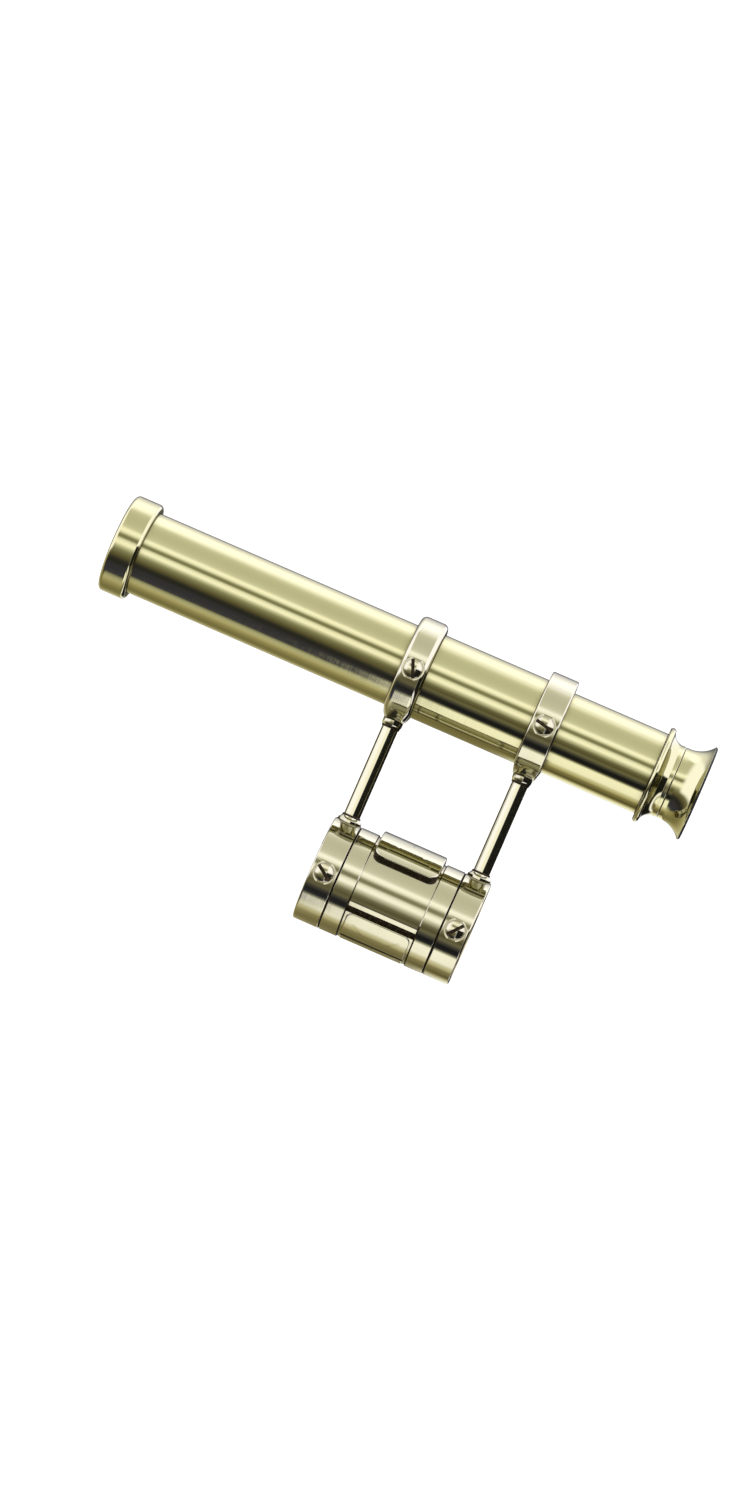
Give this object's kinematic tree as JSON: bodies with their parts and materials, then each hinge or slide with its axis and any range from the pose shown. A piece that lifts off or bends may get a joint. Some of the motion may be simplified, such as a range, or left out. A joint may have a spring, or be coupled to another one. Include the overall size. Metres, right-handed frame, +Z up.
{
  "type": "finder scope",
  "caption": "Straight brass finder telescope with a sliding draw-tube eyepiece, held by rings on a post bracket that clamps round a larger telescope's tube.",
  "frame": {"origin": "on the clamp axis, midway between the two clamp rings", "axes": "+X along the clamp axis towards the eyepiece, +Z up towards the finder tube, and the screw heads face -Y"},
  "size_m": [0.28, 0.0504, 0.1455],
  "materials": {
    "polished_brass": "mirror polished and lacquered",
    "screw_brass": "polished, with a milled slot",
    "turned_brass": "fine turned",
    "blackened_brass": "matte optical black",
    "optical_glass": "polished, single-layer coating"
  },
  "bodies": {
    "finder": {"main_tube": "polished_brass", "tube_sleeve": "polished_brass", "objective_cell": "polished_brass", "objective_ring": "blackened_brass", "crown_lens": "optical_glass", "flint_lens": "optical_glass", "front_baffle": "blackened_brass", "rear_baffle": "blackened_brass", "end_cap": "polished_brass", "draw_tube_guide": "turned_brass", "front_tube_ring": "polished_brass", "rear_tube_ring": "polished_brass", "front_post_ferrule": "polished_brass", "rear_post_ferrule": "polished_brass", "front_post": "polished_brass", "rear_post": "polished_brass", "front_post_foot": "polished_brass", "rear_post_foot": "polished_brass", "front_clamp_ring": "polished_brass", "rear_clamp_ring": "polished_brass", "spacer_sleeve": "polished_brass", "saddle_plate": "polished_brass", "belly_plate": "polished_brass"},
    "eyepiece": {"draw_tube": "polished_brass", "draw_tube_stop": "turned_brass", "lens_carrier": "blackened_brass", "field_stop": "blackened_brass", "crosshair": "blackened_brass", "field_lens_ring": "blackened_brass", "field_lens": "optical_glass", "lens_spacer": "blackened_brass", "eye_lens_ring": "blackened_brass", "eye_lens": "optical_glass", "eye_lens_cell": "turned_brass", "eyecup": "polished_brass"},
    "ring_screw_front": {"front_ring_screw": "screw_brass"},
    "ring_screw_rear": {"rear_ring_screw": "screw_brass"},
    "clamp_screw_front": {"front_clamp_screw": "screw_brass"},
    "clamp_screw_rear": {"rear_clamp_screw": "screw_brass"}
  },
  "joints": [
    {"name": "focus_slide", "type": "slide", "parent": "finder", "child": "eyepiece", "axis": [1, 0, 0], "range_m": [0, 0.036]},
    {"name": "front_ring_screw_turn", "type": "hinge", "parent": "finder", "child": "ring_screw_front", "pos_m": [-0.0312, 0, 0.097], "axis": [0, -1, 0], "range_deg": [0, 450]},
    {"name": "rear_ring_screw_turn", "type": "hinge", "parent": "finder", "child": "ring_screw_rear", "pos_m": [0.0312, 0, 0.097], "axis": [0, -1, 0], "range_deg": [0, 450]},
    {"name": "front_clamp_screw_turn", "type": "hinge", "parent": "finder", "child": "clamp_screw_front", "pos_m": [-0.0312, 0, 0], "axis": [0, -1, 0], "range_deg": [0, 450]},
    {"name": "rear_clamp_screw_turn", "type": "hinge", "parent": "finder", "child": "clamp_screw_rear", "pos_m": [0.0312, 0, 0], "axis": [0, -1, 0], "range_deg": [0, 450]}
  ]
}
